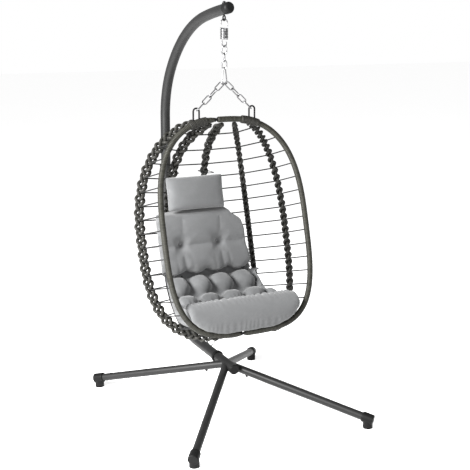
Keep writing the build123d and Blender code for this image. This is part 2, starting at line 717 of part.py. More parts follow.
pillow_lean = radians(PILLOW_LEAN)
with BuildPart() as headrest_pillow:
    pillow_front = (0, -cos(pillow_lean), -sin(pillow_lean))
    with BuildSketch(Plane(point(*PILLOW_CENTRE), x_dir=(1, 0, 0), z_dir=pillow_front)):
        RectangleRounded(PILLOW_SIZE[0], PILLOW_SIZE[2], 24)
    extrude(amount=PILLOW_SIZE[1] / 2, both=True)
save(headrest_pillow.part, "headrest_pillow")

with BuildPart() as pillow_loops:
    for rib, side in (("rib_centre", 1), ("rib_mid", -1)):
        crossing = rib_crossing(rib, side, LOOP_LEVEL)
        back = crossing.Y + RIB_DEPTH / 2 + 5
        front = LOOP_FRONT_Y + HUB_Y
        with BuildLine(Plane((crossing.X, 0, crossing.Z))) as loop_line:
            FilletPolyline(
                (LOOP_HALF_WIDTH, front), (LOOP_HALF_WIDTH, back), (-LOOP_HALF_WIDTH, back),
                (-LOOP_HALF_WIDTH, front), radius=6, close=True,
            )
        tube(loop_line.wire(), LOOP_CORD)
save(pillow_loops.part, "pillow_loops")
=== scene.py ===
"""Looks for the hanging egg chair: wicker, cushions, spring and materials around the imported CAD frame.
Metres, +Z up, the basket's mouth faces -Y."""
import json
import math

import bmesh
import bpy
import numpy as np
from mathutils import Matrix, Vector
from mathutils.bvhtree import BVHTree


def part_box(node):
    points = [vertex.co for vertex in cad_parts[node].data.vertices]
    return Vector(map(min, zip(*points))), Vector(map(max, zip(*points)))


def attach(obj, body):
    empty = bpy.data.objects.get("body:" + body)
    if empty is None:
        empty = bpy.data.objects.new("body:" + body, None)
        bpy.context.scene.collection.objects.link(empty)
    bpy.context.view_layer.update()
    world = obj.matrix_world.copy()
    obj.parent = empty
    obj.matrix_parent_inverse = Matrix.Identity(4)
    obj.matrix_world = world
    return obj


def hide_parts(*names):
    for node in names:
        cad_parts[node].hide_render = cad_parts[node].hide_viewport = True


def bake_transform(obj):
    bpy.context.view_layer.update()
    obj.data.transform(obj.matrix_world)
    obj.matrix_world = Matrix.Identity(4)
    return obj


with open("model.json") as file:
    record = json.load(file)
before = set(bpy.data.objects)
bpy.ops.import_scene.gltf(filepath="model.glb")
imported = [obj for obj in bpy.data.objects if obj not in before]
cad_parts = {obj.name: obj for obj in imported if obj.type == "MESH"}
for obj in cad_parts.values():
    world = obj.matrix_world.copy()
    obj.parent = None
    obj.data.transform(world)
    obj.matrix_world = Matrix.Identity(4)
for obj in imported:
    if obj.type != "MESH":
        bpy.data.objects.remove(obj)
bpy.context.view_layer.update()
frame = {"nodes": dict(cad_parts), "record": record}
nodes = frame["nodes"]

# Basket geometry, the same design values as the CAD part
HUB_Y = -0.05548
LEAN = math.radians(14.9)
RIM_CENTRE = Vector((0, -0.108 + HUB_Y, 0.9315))
UP_RIM = Vector((0, math.sin(LEAN), math.cos(LEAN)))
BACKWARD = Vector((0, math.cos(LEAN), -math.sin(LEAN)))
HALF_LENGTH = 0.5025
HALF_WIDTH = 0.377
RIM_POWERS = (2.7, 3.5)
RIB_POWERS = (2.2, 3.1)
RIM_WRAP = 0.014
SEAM_X = -0.038
ROD_TOP = 0.4705
ROD_PITCH = 0.0655
RIBS = {
    "rib_outer": (0.090, 37.4, 0.382, 1.0),
    "rib_mid": (0.050, 59.8, 0.328, 0.96),
    "rib_centre": (0.0, 90.0, 0.329, 0.96),
}
RIB_START = 0.020


# ---- Materials ----
class Nodes:
    """A material under construction, with the links that every finish here uses."""

    def __init__(self, name, roughness, metallic=0.0):
        self.material = bpy.data.materials.new(name)
        self.material.use_nodes = True
        self.tree = self.material.node_tree
        self.shader = self.tree.nodes["Principled BSDF"]
        self.shader.inputs["Roughness"].default_value = roughness
        self.shader.inputs["Metallic"].default_value = metallic
        self.coordinates = self.add("ShaderNodeTexCoord").outputs["Object"]

    def add(self, kind, **values):
        node = self.tree.nodes.new(kind)
        for key, value in values.items():
            if key in node.inputs:
                node.inputs[key].default_value = value
            else:
                setattr(node, key, value)
        return node

    def link(self, source, target):
        self.tree.links.new(source, target)

    def noise(self, scale, detail=3.0, roughness=0.55):
        node = self.add("ShaderNodeTexNoise", Scale=scale, Detail=detail, Roughness=roughness)
        self.link(self.coordinates, node.inputs["Vector"])
        return node.outputs["Fac"]

    def ramp(self, factor, *stops):
        node = self.add("ShaderNodeValToRGB")
        elements = node.color_ramp.elements
        while len(elements) < len(stops):
            elements.new(0.5)
        for element, (position, colour) in zip(elements, stops):
            element.position = position
            element.color = (*colour, 1)
        self.link(factor, node.inputs["Fac"])
        return node.outputs["Color"]

    def colour(self, source):
        self.link(source, self.shader.inputs["Base Color"])

    def roughness(self, factor, low, high):
        node = self.add("ShaderNodeMapRange")
        node.inputs["To Min"].default_value = low
        node.inputs["To Max"].default_value = high
        self.link(factor, node.inputs["Value"])
        self.link(node.outputs["Result"], self.shader.inputs["Roughness"])

    def bump(self, height, distance, strength=1.0):
        node = self.add("ShaderNodeBump", Strength=strength, Distance=distance)
        self.link(height, node.inputs["Height"])
        self.link(node.outputs["Normal"], self.shader.inputs["Normal"])


def grey(value, cool=0.0):
    return (value * (1 - cool), value, value * (1 + cool))


def powder_coat():
    m = Nodes("frame_powder_coat", 0.42)
    m.colour(m.ramp(m.noise(9.0), (0.3, grey(0.008)), (0.7, grey(0.011))))
    grain = m.noise(1500.0, 1.0)
    m.roughness(m.noise(60.0), 0.36, 0.5)
    m.bump(grain, 0.00012, 0.5)
    m.shader.inputs["Specular IOR Level"].default_value = 0.24
    return m.material


def moulded_black(name, value, roughness):
    m = Nodes(name, roughness)
    m.colour(m.ramp(m.noise(14.0), (0.3, grey(value * 0.8)), (0.7, grey(value * 1.2))))
    m.roughness(m.noise(120.0), roughness - 0.08, roughness + 0.08)
    m.shader.inputs["Specular IOR Level"].default_value = 0.12
    m.bump(m.noise(2200.0, 2.0), 0.0001, 0.4)
    return m.material


def zinc():
    m = Nodes("zinc_steel", 0.28, 1.0)
    m.colour(m.ramp(m.noise(220.0, 4.0), (0.3, (0.13, 0.13, 0.133)), (0.7, (0.25, 0.25, 0.254))))
    m.roughness(m.noise(400.0), 0.2, 0.42)
    m.bump(m.noise(900.0), 0.00008, 0.5)
    return m.material


def rattan(name, dark, light):
    """Round synthetic rattan: each strand varies a little in tone, with fine lines along it; on the
    windings the stored values also hold painted shade in the gaps between turns.
    """
    m = Nodes(name, 0.5)
    # This attribute holds random strand tone and, on the windings, painted shade in the gaps between turns
    strand = m.add("ShaderNodeAttribute", attribute_name="cane_tone_and_groove_shade").outputs["Fac"]
    blend = m.add("ShaderNodeMath", operation="MULTIPLY_ADD")
    blend.inputs[1].default_value = 0.75
    m.link(strand, blend.inputs[0])
    m.link(m.noise(90.0, 4.0, 0.7), blend.inputs[2])
    m.colour(m.ramp(blend.outputs[0], (0.35, dark), (1.15, light)))
    m.roughness(m.noise(300.0), 0.4, 0.62)
    m.bump(m.noise(1400.0, 2.0), 0.0002, 0.5)
    m.shader.inputs["Specular IOR Level"].default_value = 0.2
    return m.material


def cloth(name, dark, light):
    """Plain-woven polyester: crossed threads, soft tone change and a faint sheen."""
    m = Nodes(name, 0.9)
    threads = []
    for direction in ("X", "Z"):
        wave = m.add("ShaderNodeTexWave", Scale=330.0, Distortion=0.6, bands_direction=direction)
        wave.inputs["Detail"].default_value = 1.0
        m.link(m.coordinates, wave.inputs["Vector"])
        threads.append(wave.outputs["Fac"])
    weave = m.add("ShaderNodeMath", operation="MAXIMUM")
    m.link(threads[0], weave.inputs[0])
    m.link(threads[1], weave.inputs[1])
    m.colour(m.ramp(m.noise(26.0, 6.0, 0.65), (0.3, dark), (0.7, light)))
    m.roughness(m.noise(90.0), 0.82, 0.96)
    m.bump(weave.outputs[0], 0.00025, 0.35)
    m.shader.inputs["Sheen Weight"].default_value = 0.25
    m.shader.inputs["Sheen Roughness"].default_value = 0.5
    return m.material


COAT = powder_coat()
PLASTIC = moulded_black("black_plastic", 0.004, 0.5)
FASTENER = moulded_black("black_fasteners", 0.006, 0.38)
BLACK_COAT = moulded_black("black_coat", 0.005, 0.35)
ROD_COAT = moulded_black("rod_coat", 0.012, 0.36)
ZINC = zinc()
WICKER = rattan("wicker", (0.005, 0.005, 0.0035), (0.021, 0.0205, 0.016))
BRAID = rattan("wicker_braid", (0.0035, 0.0035, 0.003), (0.018, 0.0175, 0.015))
FABRIC = cloth("cushion_fabric", grey(0.073, 0.02), grey(0.085, 0.02))
CORD = moulded_black("loop_cord", 0.006, 0.8)
FINISHES = {
    "frame_coat": COAT,
    "black_plastic": PLASTIC,
    "black_fasteners": FASTENER,
    "zinc_steel": ZINC,
    "black_coat": BLACK_COAT,
    "rod_coat": ROD_COAT,
    "wicker": WICKER,
    "cushion_fabric": FABRIC,
    "loop_cord": CORD,
}
for entry in frame["record"]["subparts"]:
    node = nodes[entry["node"]]
    node.data.materials.clear()
    node.data.materials.append(FINISHES[entry["material_slot"]])


# ---- Mesh building ----
def make_object(name, vertices, faces, material):
    mesh = bpy.data.meshes.new(name)
    mesh.from_pydata([tuple(v) for v in vertices], [], faces)
    mesh.update()
    obj = bpy.data.objects.new(name, mesh)
    bpy.context.scene.collection.objects.link(obj)
    mesh.materials.append(material)
    mesh.polygons.foreach_set("use_smooth", [True] * len(mesh.polygons))
    return obj


def resample(points, step):
    """Points along a line at an even spacing, with their distances along it."""
    points = np.array(points, float)
    lengths = np.concatenate(([0], np.cumsum(np.linalg.norm(np.diff(points, axis=0), axis=1))))
    count = max(int(round(lengths[-1] / step)), 2)
    wanted = np.linspace(0, lengths[-1], count + 1)
    even = np.stack([np.interp(wanted, lengths, points[:, axis]) for axis in range(3)], axis=1)
    return even, wanted


def frames_along(points, across):
    """Two unit vectors square to the line at each point; the second stays near the across direction."""
    tangents = np.gradient(points, axis=0)
    tangents /= np.linalg.norm(tangents, axis=1)[:, None]
    second = across - tangents * (tangents @ across)[:, None]
    second /= np.linalg.norm(second, axis=1)[:, None]
    return np.cross(second, tangents), second


def swept(points, across, radius, sides, flat=1.0):
    """A closed tube's vertices and faces. radius(distance, angle) gives its size; flat thins it."""
    points = np.array(points, float)
    distance = np.concatenate(([0], np.cumsum(np.linalg.norm(np.diff(points, axis=0), axis=1))))
    first, second = frames_along(points, np.array(across, float))
    angles = np.arange(sides) * 2 * math.pi / sides
    size = radius(distance[:, None], angles[None, :])
    ring = first[:, None] * (np.cos(angles) * size)[..., None] \
        + second[:, None] * (np.sin(angles) * size * flat)[..., None]
    vertices = (points[:, None] + ring).reshape(-1, 3)
    rows = len(points)
    faces = []
    for row in range(rows - 1):
        for side in range(sides):
            after = (side + 1) % sides
            here, ahead = row * sides, (row + 1) * sides
            faces.append((here + side, here + after, ahead + after, ahead + side))
    faces.append(tuple(range(sides))[::-1])
    faces.append(tuple((rows - 1) * sides + side for side in range(sides)))
    return vertices, faces


def store_tone_and_shade(obj, tones):
    """Stores how light each strand is, with painted shade in the gaps between the turns of the windings,
    for the rattan finish.
    """
    attribute = obj.data.attributes.new("cane_tone_and_groove_shade", "FLOAT", "POINT")
    attribute.data.foreach_set("value", np.asarray(tones, np.float32).ravel())


def joined(name, pieces, material):
    vertices, faces = [], []
    for piece_vertices, piece_faces in pieces:
        offset = sum(len(block) for block in vertices)
        vertices.append(piece_vertices)
        faces.extend(tuple(index + offset for index in face) for face in piece_faces)
    return make_object(name, np.concatenate(vertices), faces, material)


# ---- Wicker ----
def egg(level, powers):
    power = powers[0] if level > 0 else powers[1]
    return (1 - abs(level / HALF_LENGTH) ** power) ** (1 / power)


def egg_curve(reach, powers, first, last, steps=400):
    """Distance out and level down one side of an egg outline, from a first to a last angle."""
    curve = []
    for step in range(steps + 1):
        angle = math.radians(first + (last - first) * step / steps)
        power = powers[0] if angle > 0 else powers[1]
        out = reach * max(math.cos(angle), 0) ** (2 / power)
        level = math.copysign(HALF_LENGTH * abs(math.sin(angle)) ** (2 / power), angle)
        curve.append((out, level))
    return curve


def rim_level(x, upper):
    power = RIM_POWERS[0 if upper else 1]
    level = HALF_LENGTH * (1 - abs(x / HALF_WIDTH) ** power) ** (1 / power)
    return level if upper else -level


def rim_place(x, level):
    return RIM_CENTRE + Vector((x, 0, 0)) + UP_RIM * level


STRAND = 0.0072
STRAND_RELIEF = 0.0026
STEPS_PER_STRAND = 6
RIM_SIDES = 24
RIM_ENDS = {"left": (0.045, 0.05, 0.0, 0.0), "right": (0.012, 0.03, 0.004, 0.0)}
BINDING_RADIUS = 0.0195
BINDING_STRAND = 0.0074
BINDING_SIDES = 28
BINDING_REACH = (0.092, 0.181)
BINDING_ENDS = (0.012, 0.012, 0.006, 0.006)


def wound(radius, ends, total, lean, strand):
    """A tube wound with round strand: its size at each distance and angle.
    ends holds the lengths over which its two ends taper, and how far past each end the taper starts."""
    def size(distance, angle):
        turn = (distance / strand + lean * angle / (2 * math.pi)) % 1
        ridge = np.sqrt(np.clip(1 - (2 * turn - 1) ** 2, 0, 1))
        start = (distance + ends[2]) / ends[0]
        finish = (total - distance + ends[3]) / ends[1]
        ease = np.clip(np.minimum(start, finish), 0, 1)
        return (radius - STRAND_RELIEF + STRAND_RELIEF * ridge) * (0.35 + 0.65 * np.sqrt(ease * (2 - ease)))
    return size


def winding_tone_and_groove_shade(along, sides, lean, strand):
    """A random tone for each turn of the winding, with painted shade darkening the gap between two turns.
    """
    angles = np.arange(sides) * 2 * math.pi / sides
    turns = along[:, None] / strand + lean * angles[None, :] / (2 * math.pi)
    shade = np.abs(np.sin(np.floor(turns) * 12.9898) * 43758.5453) % 1
    # Painted shade: the colour darkens towards the gap between two turns
    groove_shade = np.abs(2 * (turns % 1) - 1) ** 3
    return (0.25 + 0.75 * shade) * (1 - 0.9 * groove_shade)


def rim_half(side):
    """The centre line of one half of the rim, from the top seam to the bottom seam."""
    seam = SEAM_X + side * 0.004
    points = []
    if side > 0:
        points += [rim_place(x, rim_level(x, True)) for x in np.linspace(seam, 0.03, 12)]
        points += [rim_place(out, level) for out, level in egg_curve(HALF_WIDTH, RIM_POWERS, 85.5, -87.5)]
        points += [rim_place(x, rim_level(x, False)) for x in np.linspace(0.02, seam, 10)]
    else:
        lines = [(out, level) for out, level in egg_curve(HALF_WIDTH, RIM_POWERS, 89, -89.5) if out > -seam]
        points += [rim_place(-out, level) for out, level in lines]
    return points


def wind(name, points, radius, ends, lean, strand, sides, material, replaced):
    """A winding along a line, as one piece of the basket in place of a CAD node."""
    line, along = resample(points, STRAND / STEPS_PER_STRAND)
    vertices, faces = swept(line, BACKWARD, wound(radius, ends, along[-1], lean, strand), sides)
    winding = make_object(name, vertices, faces, material)
    store_tone_and_shade(winding, winding_tone_and_groove_shade(along, sides, lean, strand))
    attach(winding, "basket")
    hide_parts(replaced)


for side_name, side in (("left", -1), ("right", 1)):
    wind(
        f"wound_rim_{side_name}", rim_half(side), RIM_WRAP, RIM_ENDS[side_name], side, STRAND, RIM_SIDES,
        WICKER, f"rim_wrap_{side_name}",
    )
    ring_arc = [rim_place(side * x, rim_level(side * x, True)) for x in np.linspace(*BINDING_REACH, 60)]
    wind(
        f"wound_binding_{side_name}", ring_arc, BINDING_RADIUS, BINDING_ENDS, side * 2.0, BINDING_STRAND,
        BINDING_SIDES, BRAID, f"ring_binding_{side_name}",
    )


# One tone for each of the twelve sides of a braid strand
CANE_TONES = np.array([0.9, 0.8, 0.35, 0.1, 0.55, 0.7, 0.2, 0.05, 0.4, 0.85, 0.6, 0.3])
BRAID_STRAND = 0.0084
BRAID_FLATTENING = 0.85
BRAID_HALF_WIDTH = 0.0190
BRAID_HALF_DEPTH = 0.0080
BRAID_TAPER = 0.07
BRAID_STEP = 0.003
# Past this level the rib curves in, and the plait keeps a steady pitch instead of following the rods
STEADY_FROM = 0.30
STEADY_FADE = 0.12


def strand_size(distance, angle):
    """Three thin canes laid side by side in one braid strand."""
    return BRAID_STRAND * (0.80 + 0.22 * np.abs(np.sin(1.5 * angle))) * np.ones_like(distance)


def braid(rib, side):
    """A plait of three strands down a rib, drawn in at each cross rod and at both ends."""
    across, angle, reach, closing = RIBS[rib]
    turn = math.radians(angle)
    out = Vector((side * math.cos(turn), 0, 0)) + BACKWARD * math.sin(turn)
    sideways = np.array(out.cross(UP_RIM))
    start = RIM_CENTRE + Vector((side * across, 0, 0))
    outline = [(o, level * closing) for o, level in egg_curve(reach, RIB_POWERS, 89.5, -89.5)]
    centre = [start + out * o + UP_RIM * level for o, level in outline]
    keep = [p for p in centre if (p - RIM_CENTRE).dot(BACKWARD) > RIB_START]
    line, along = resample(keep, BRAID_STEP)
    levels = (line - np.array(RIM_CENTRE)) @ np.array(UP_RIM) / closing
    order = (ROD_TOP - levels) / ROD_PITCH
    steady = along / ROD_PITCH
    steady = steady + np.interp(0.0, levels[::-1], order[::-1]) - np.interp(0.0, levels[::-1], steady[::-1])
    mix = np.clip((np.abs(levels) - STEADY_FROM) / STEADY_FADE, 0, 1)
    phase = order * (1 - mix) + steady * mix
    outward, _ = frames_along(line, sideways)
    pinch = 0.55 + 0.45 * np.abs(np.sin(math.pi * phase)) ** 0.7
    taper = np.clip(np.minimum(along, along[-1] - along) / BRAID_TAPER, 0, 1)
    wide = BRAID_HALF_WIDTH * pinch * (0.15 + 0.85 * taper)
    deep = BRAID_HALF_DEPTH * (0.3 + 0.7 * taper)
    strands = []
    for strand in range(3):
        beat = 2 * math.pi * (phase / 1.5 + strand / 3)
        path = line + outward * (wide * np.sin(beat))[:, None] \
            + sideways * (deep * np.sin(2 * beat))[:, None]
        strands.append(swept(path, sideways, strand_size, len(CANE_TONES), BRAID_FLATTENING))
    return strands


for rib in RIBS:
    places = [("", 1)] if rib == "rib_centre" else [("_left", -1), ("_right", 1)]
    for suffix, side in places:
        strands = braid(rib, side)
        plait = joined(f"braid_{rib}{suffix}", strands, BRAID)
        tones = [np.tile(CANE_TONES, len(vertices) // len(CANE_TONES)) for vertices, _ in strands]
        store_tone_and_shade(plait, np.concatenate(tones))
        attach(plait, "basket")
        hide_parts(rib + suffix)


# ---- Spring ----
WIRE_RADIUS = 0.00275
COIL_TURNS = 7.5
COIL_STEPS = 400
WIRE_SIDES = 12


def wire_size(distance, angle):
    return WIRE_RADIUS + 0 * distance + 0 * angle


spring_low, spring_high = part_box("spring")
coil_radius = (spring_high.x - spring_low.x) / 2 - WIRE_RADIUS
axis_x, axis_y, _ = (spring_low + spring_high) / 2
helix = []
for step in range(COIL_STEPS + 1):
    share = step / COIL_STEPS
    angle = 2 * math.pi * COIL_TURNS * share
    height = spring_low.z + WIRE_RADIUS + (spring_high.z - spring_low.z - 2 * WIRE_RADIUS) * share
    helix.append((axis_x + coil_radius * math.cos(angle), axis_y + coil_radius * math.sin(angle), height))
vertices, faces = swept(helix, (0, 0, 1), wire_size, WIRE_SIDES)
coil_spring = make_object("coil_spring", vertices, faces, ZINC)
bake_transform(coil_spring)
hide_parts("spring")


# ---- Soft pieces ----
def activate(obj):
    bpy.ops.object.select_all(action="DESELECT")
    bpy.context.view_layer.objects.active = obj
    obj.select_set(True)


def apply_modifier(obj, kind, **values):
    modifier = obj.modifiers.new(kind.lower(), kind)
    for key, value in values.items():
        setattr(modifier, key, value)
    activate(obj)
    bpy.ops.object.modifier_apply(modifier=modifier.name)


def coordinates(obj):
    co = np.zeros(len(obj.data.vertices) * 3)
    obj.data.vertices.foreach_get("co", co)
    return co.reshape(-1, 3)


def set_coordinates(obj, co):
    obj.data.vertices.foreach_set("co", np.asarray(co, float).ravel())
    obj.data.update()


def normals(obj):
    values = np.zeros(len(obj.data.vertices) * 3)
    obj.data.vertices.foreach_get("normal", values)
    return values.reshape(-1, 3)


def soft_copy(name, sources, voxel, grow, rounding):
    """The CAD solids as one closed mesh, grown and rounded."""
    mesh = bmesh.new()
    for source in sources:
        mesh.from_mesh(nodes[source].data)
    bmesh.ops.remove_doubles(mesh, verts=mesh.verts, dist=1e-5)
    bmesh.ops.recalc_face_normals(mesh, faces=mesh.faces)
    mesh.normal_update()
    moved = [(v, v.co + v.normal * grow * v.calc_shell_factor()) for v in mesh.verts]
    for vertex, place in moved:
        vertex.co = place
    data = bpy.data.meshes.new(name)
    mesh.to_mesh(data)
    mesh.free()
    obj = bpy.data.objects.new(name, data)
    bpy.context.scene.collection.objects.link(obj)
    apply_modifier(obj, "REMESH", mode="VOXEL", voxel_size=voxel)
    apply_modifier(obj, "SMOOTH", factor=0.5, iterations=rounding)
    return obj


CLOTH_STIFFNESS = 12.0
CLOTH_FRAMES = 20


def inflate(obj, pins, pressure, cap):
    """Swells a closed mesh as cloth. pins is each vertex's hold, and no point moves further than cap."""
    rest = coordinates(obj)
    group = obj.vertex_groups.new(name="hold")
    for index in np.nonzero(pins > 0.02)[0]:
        group.add([int(index)], float(pins[index]), "REPLACE")
    modifier = obj.modifiers.new("cloth", "CLOTH")
    settings = modifier.settings
    settings.quality = 5
    settings.mass = 0.3
    settings.tension_stiffness = CLOTH_STIFFNESS
    settings.compression_stiffness = CLOTH_STIFFNESS
    settings.shear_stiffness = CLOTH_STIFFNESS / 2
    settings.bending_stiffness = 0.4
    settings.use_pressure = True
    settings.uniform_pressure_force = pressure
    settings.vertex_group_mass = group.name
    settings.effector_weights.gravity = 0
    modifier.point_cache.frame_start = 1
    modifier.point_cache.frame_end = CLOTH_FRAMES
    scene = bpy.context.scene
    for number in range(1, CLOTH_FRAMES + 1):
        scene.frame_set(number)
    evaluated = obj.evaluated_get(bpy.context.evaluated_depsgraph_get())
    swollen = np.zeros(len(obj.data.vertices) * 3)
    evaluated.data.vertices.foreach_get("co", swollen)
    swollen = swollen.reshape(-1, 3)
    obj.modifiers.remove(modifier)
    move = swollen - rest
    length = np.linalg.norm(move, axis=1)
    share = np.minimum(1, cap / np.maximum(length, 1e-9))
    set_coordinates(obj, rest + move * share[:, None])
    obj.vertex_groups.clear()
    scene.frame_set(1)


def smooth_all(obj, material):
    obj.data.materials.clear()
    obj.data.materials.append(material)
    obj.data.polygons.foreach_set("use_smooth", [True] * len(obj.data.polygons))


def step_between(low, high, value):
    t = np.clip((value - low) / (high - low), 0, 1)
    return t * t * (3 - 2 * t)


# The cushion's face in the YZ plane, from the top of its back to the front of its seat
FACE = np.array([
    (0.092, 0.962), (0.066, 0.900), (0.054, 0.800), (0.050, 0.712), (0.058, 0.667), (0.000, 0.640),
    (-0.050, 0.602), (-0.110, 0.584), (-0.190, 0.580), (-0.222, 0.560), (-0.240, 0.500), (-0.238, 0.430),
]) + (HUB_Y, 0)
FACE_LENGTHS = np.concatenate(([0], np.cumsum(np.linalg.norm(np.diff(FACE, axis=0), axis=1))))


def down_face(co):
    """How far down the cushion's face each point lies."""
    best = np.full(len(co), 1e9)
    down = np.zeros(len(co))
    for index, (a, b) in enumerate(zip(FACE, FACE[1:])):
        run = b - a
        share = np.clip((co[:, 1:] - a) @ run / (run @ run), 0, 1)
        gap = np.linalg.norm(co[:, 1:] - (a + share[:, None] * run), axis=1)
        near = gap < best
        best[near] = gap[near]
        down[near] = FACE_LENGTHS[index] + share[near] * np.linalg.norm(run)
    return down


def face_at(y, z):
    return down_face(np.array([(0.0, y + HUB_Y, z)]))[0]


BUTTON_ROW = face_at(0.056, 0.826)
FOLD_ROW = face_at(0.056, 0.676)
SEAT_ROW = face_at(-0.034, 0.614)
ROLL_ROW = face_at(-0.122, 0.583)
ROLL_LOW = face_at(-0.240, 0.482)
BUTTONS = (-0.205, -0.006)
FOLD_TUFTS = (-0.300, -0.183, -0.072, 0.043, 0.160)
SEAT_TUFTS = (-0.302, -0.182, -0.063, 0.057, 0.177)
TUFTS = [(x, BUTTON_ROW) for x in BUTTONS]
TUFTS += [(x, FOLD_ROW) for x in FOLD_TUFTS]
TUFTS += [(x, SEAT_ROW) for x in SEAT_TUFTS]
QUILT_DEPTH = 0.042
TUFT_DEPTH = 0.050
BUTTON_TUFT_WIDTH = 0.026
SEWN_TUFT_WIDTH = 0.020
SWELL = 0.014
ROLL_SWELL = 0.006
# The fold between back and seat is tighter than the other creases, most of all on the back's side
FOLD_TIGHTER_ABOVE = 2.6
FOLD_TIGHTER_BELOW = 1.8
GATHER_PITCH = 0.027
GATHER_HEIGHT = 0.0042


def creases():
    """Line segments between tufts, as (x, distance down the face), with a depth and a width."""
    lines = [
        ((-0.33, BUTTON_ROW + 0.004), (0.17, BUTTON_ROW + 0.004), 0.024, 0.060),
        ((-0.33, FOLD_ROW), (0.22, FOLD_ROW), 0.042, 0.062),
        ((-0.33, SEAT_ROW), (0.25, SEAT_ROW), 0.040, 0.054),
        ((-0.33, ROLL_ROW), (0.30, ROLL_ROW), 0.034, 0.046),
        ((-0.33, ROLL_LOW), (0.33, ROLL_LOW), 0.006, 0.012),
    ]
    for x in BUTTONS:
        lines.append(((x, BUTTON_ROW), (x + 0.012, 0.02), 0.010, 0.045))
        lines.append(((x, BUTTON_ROW), (x + 0.02, FOLD_ROW), 0.012, 0.040))
        lines.append(((x - 0.035, BUTTON_ROW + 0.05), (x - 0.02, FOLD_ROW), 0.006, 0.022))
        lines.append(((x + 0.045, BUTTON_ROW + 0.06), (x + 0.06, FOLD_ROW), 0.006, 0.022))
    for upper, lower in zip(FOLD_TUFTS, SEAT_TUFTS):
        lines.append(((upper, FOLD_ROW), (lower, SEAT_ROW), 0.042, 0.056))
    for x in SEAT_TUFTS:
        lines.append(((x, SEAT_ROW), (x - 0.004, ROLL_ROW), 0.040, 0.052))
    return lines


def quilt(co, facing):
    """How deep the sewn creases and tufts press each point of the face in; the pads between swell out."""
    down = down_face(co)
    spot = np.stack([co[:, 0], down], axis=1)
    edge = np.zeros(len(co))
    for start, end, deep, width in creases():
        a, b = np.array(start), np.array(end)
        run = b - a
        share = np.clip((spot - a) @ run / (run @ run), 0, 1)
        gap = np.linalg.norm(spot - (a + share[:, None] * run), axis=1)
        if start[1] == end[1] == FOLD_ROW:
            gap = np.where(down < FOLD_ROW, gap * FOLD_TIGHTER_ABOVE, gap * FOLD_TIGHTER_BELOW)
        edge += (np.clip(1 - gap / width, 0, 1) * math.sqrt(deep / QUILT_DEPTH)) ** 2
    edge = np.minimum(np.sqrt(edge), 1)
    depth = QUILT_DEPTH * (1 - np.sqrt(1 - edge ** 2))
    for x, row in TUFTS:
        gap = np.hypot(spot[:, 0] - x, spot[:, 1] - row)
        width = BUTTON_TUFT_WIDTH if row == BUTTON_ROW else SEWN_TUFT_WIDTH
        depth = np.maximum(depth, TUFT_DEPTH * np.exp(-(gap / width) ** 1.3))
    swell = SWELL * step_between(BUTTON_ROW, FOLD_ROW, down) * (1 - np.clip(depth / 0.03, 0, 1)) ** 0.7
    roll = ROLL_SWELL * np.exp(-((down - (ROLL_ROW + ROLL_LOW) / 2) / 0.055) ** 2)
    return (depth - swell - roll) * facing


def gathers(co, facing):
    """Fine puckers that run down the front roll from its sewn edge."""
    down = down_face(co)
    ripple = np.sin(co[:, 0] * 2 * math.pi / GATHER_PITCH + 2.5 * np.sin(co[:, 0] * 31)) * GATHER_HEIGHT
    upper = np.exp(-((down - ROLL_ROW - 0.03) / 0.040) ** 2)
    lower = np.exp(-((down - ROLL_LOW) / 0.02) ** 2)
    return ripple * (upper + 0.25 * lower) * facing


def back_edge(z):
    """How far right the cushion reaches at a height: it narrows from the seat to the top."""
    heights = (0.60, 0.66, 0.70, 0.79, 0.87, 0.924, 0.956)
    return np.interp(z, heights, (0.300, 0.200, 0.158, 0.142, 0.134, 0.118, 0.070))


def seat_edge(y):
    """How far right the seat reaches: its front roll is wider than its tufted part."""
    return np.interp(y, (-0.19, -0.14, -0.09, -0.05, 0.06), (0.264, 0.245, 0.208, 0.190, 0.180))


BACK_WIDEST = 0.176
SEAT_WIDEST = 0.292
CUSHION_VOXEL = 0.0055
CUSHION_GROWTH = 0.0042
CUSHION_ROUNDING = 26
CUSHION_PRESSURE = 2.5
CUSHION_SWELL_CAP = 0.009
PINNED_DEPTH = 0.024


def build_cushion():
    """The CAD cushion narrowed on its right to the photo's outline, quilted, swollen and gathered."""
    sources = ("back_cushion", "seat_cushion")
    cushion = soft_copy("tufted_cushion", sources, CUSHION_VOXEL, CUSHION_GROWTH, CUSHION_ROUNDING)
    co = coordinates(cushion)
    limit = back_edge(co[:, 2])
    right = np.clip(co[:, 0], 0, None)
    upper = step_between(0.660, 0.680, co[:, 2])
    widest = SEAT_WIDEST + (BACK_WIDEST - SEAT_WIDEST) * upper
    seat = seat_edge(co[:, 1] - HUB_Y)
    limit = seat + (limit - seat) * upper
    share = np.minimum(limit / widest, 1)
    co[:, 0] = np.where(co[:, 0] > 0, right * share, co[:, 0])
    set_coordinates(cushion, co)
    cushion.data.update()
    normal = normals(cushion)
    facing = step_between(0.15, 0.6, np.maximum(-normal[:, 1], normal[:, 2] * (co[:, 1] - HUB_Y < 0.08)))
    depth = quilt(co, facing)
    set_coordinates(cushion, co - normal * depth[:, None])
    pins = np.clip(depth / PINNED_DEPTH, 0, 1) ** 2
    rear = step_between(0.09, 0.13, co[:, 1] - HUB_Y) + step_between(0.50, 0.44, co[:, 2])
    inflate(cushion, np.clip(pins + rear, 0, 1), CUSHION_PRESSURE, CUSHION_SWELL_CAP)
    apply_modifier(cushion, "SMOOTH", factor=0.5, iterations=3)
    co, normal = coordinates(cushion), normals(cushion)
    facing = step_between(0.15, 0.6, np.maximum(-normal[:, 1], normal[:, 2]))
    set_coordinates(cushion, co + normal * gathers(co, facing)[:, None])
    apply_modifier(cushion, "SUBSURF", levels=1)
    smooth_all(cushion, FABRIC)
    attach(cushion, "basket")
    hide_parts("back_cushion", "seat_cushion")
    return cushion


BUTTON_RADIUS = 0.011
SMALL_BUTTON_RADIUS = 0.007
BUTTON_RINGS = 10
BUTTON_SIDES = 16


